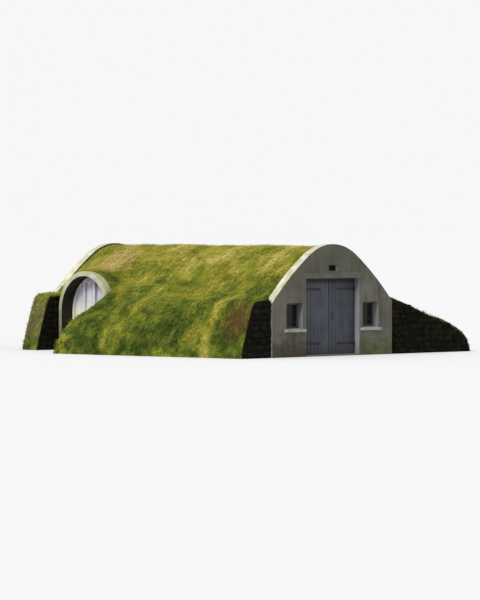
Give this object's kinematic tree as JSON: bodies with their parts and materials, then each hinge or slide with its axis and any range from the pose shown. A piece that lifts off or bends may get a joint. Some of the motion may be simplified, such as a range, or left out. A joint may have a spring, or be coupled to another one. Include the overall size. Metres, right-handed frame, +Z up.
{
  "type": "turf house",
  "caption": "Turf house: a long vault under turf between arched concrete gables, with paired doors in front and a round-headed porch in the left flank.",
  "frame": {"origin": "on the ground in the middle of the vault's plan, under the floor slab", "axes": "+Y from the front gable to the rear gable, +X to the right seen from the front, +Z up"},
  "size_m": [9.95, 9.56, 3.05],
  "materials": {
    "concrete": "weathered bare concrete, matt, with moss and rust stains at the foot",
    "inner_concrete": "plain cast concrete, matt",
    "pale_concrete": "smooth pale concrete, matt",
    "whitewash": "cream limewash on concrete, matt and stained",
    "slate_paint": "slate-blue paint on boards, worn and matt",
    "white_paint": "white paint on timber, weathered",
    "iron": "dark forged iron, rusty",
    "glass": "window glass, clear, over a dark inside",
    "dark_wood": "tarred timber, matt",
    "turf": "grass-grown turf and earth, straw yellow above and green below",
    "dark_stone": "dark field stone and turf, mossy"
  },
  "bodies": {
    "root": {"floor_slab": "inner_concrete", "front_wall_left": "concrete", "front_wall_right": "concrete", "front_wall_head": "concrete", "rear_wall": "concrete", "side_wall_right": "inner_concrete", "side_wall_left_front": "inner_concrete", "side_wall_left_rear": "inner_concrete", "vault_crown": "inner_concrete", "vault_left": "inner_concrete", "vault_right": "inner_concrete", "door_lintel": "pale_concrete", "door_threshold": "inner_concrete", "door_posts": "slate_paint", "door_head": "slate_paint", "hinge_pins_left": "iron", "hinge_pins_right": "iron", "window_frames": "white_paint", "window_panes": "glass", "window_sills": "pale_concrete", "vent_louvre": "dark_wood", "porch_ring": "whitewash", "porch_shell": "whitewash", "porch_floor": "inner_concrete", "porch_screen_frame": "white_paint", "porch_screen_boards": "white_paint", "porch_turf": "turf", "turf_crown": "turf", "turf_left": "turf", "turf_right": "turf", "bank_left": "turf", "bank_left_rear": "turf", "bank_right": "turf", "bank_end_front_left": "dark_stone", "bank_end_front_right": "dark_stone", "bank_end_rear_left": "dark_stone", "bank_end_rear_right": "dark_stone", "porch_cheek_near": "dark_stone", "porch_cheek_far": "dark_stone"},
    "door_left": {"door_leaf_left": "slate_paint", "hinge_straps_left": "iron"},
    "door_right": {"door_leaf_right": "slate_paint", "hinge_straps_right": "iron", "door_handle": "iron"}
  },
  "joints": [
    {"name": "door_left_hinge", "type": "hinge", "parent": "root", "child": "door_left", "pos_m": [-0.937, -4.589, 0.5], "axis": [0, 0, -1], "range_deg": [0, 90]},
    {"name": "door_right_hinge", "type": "hinge", "parent": "root", "child": "door_right", "pos_m": [0.937, -4.589, 0.5], "axis": [0, 0, 1], "range_deg": [0, 90]}
  ]
}
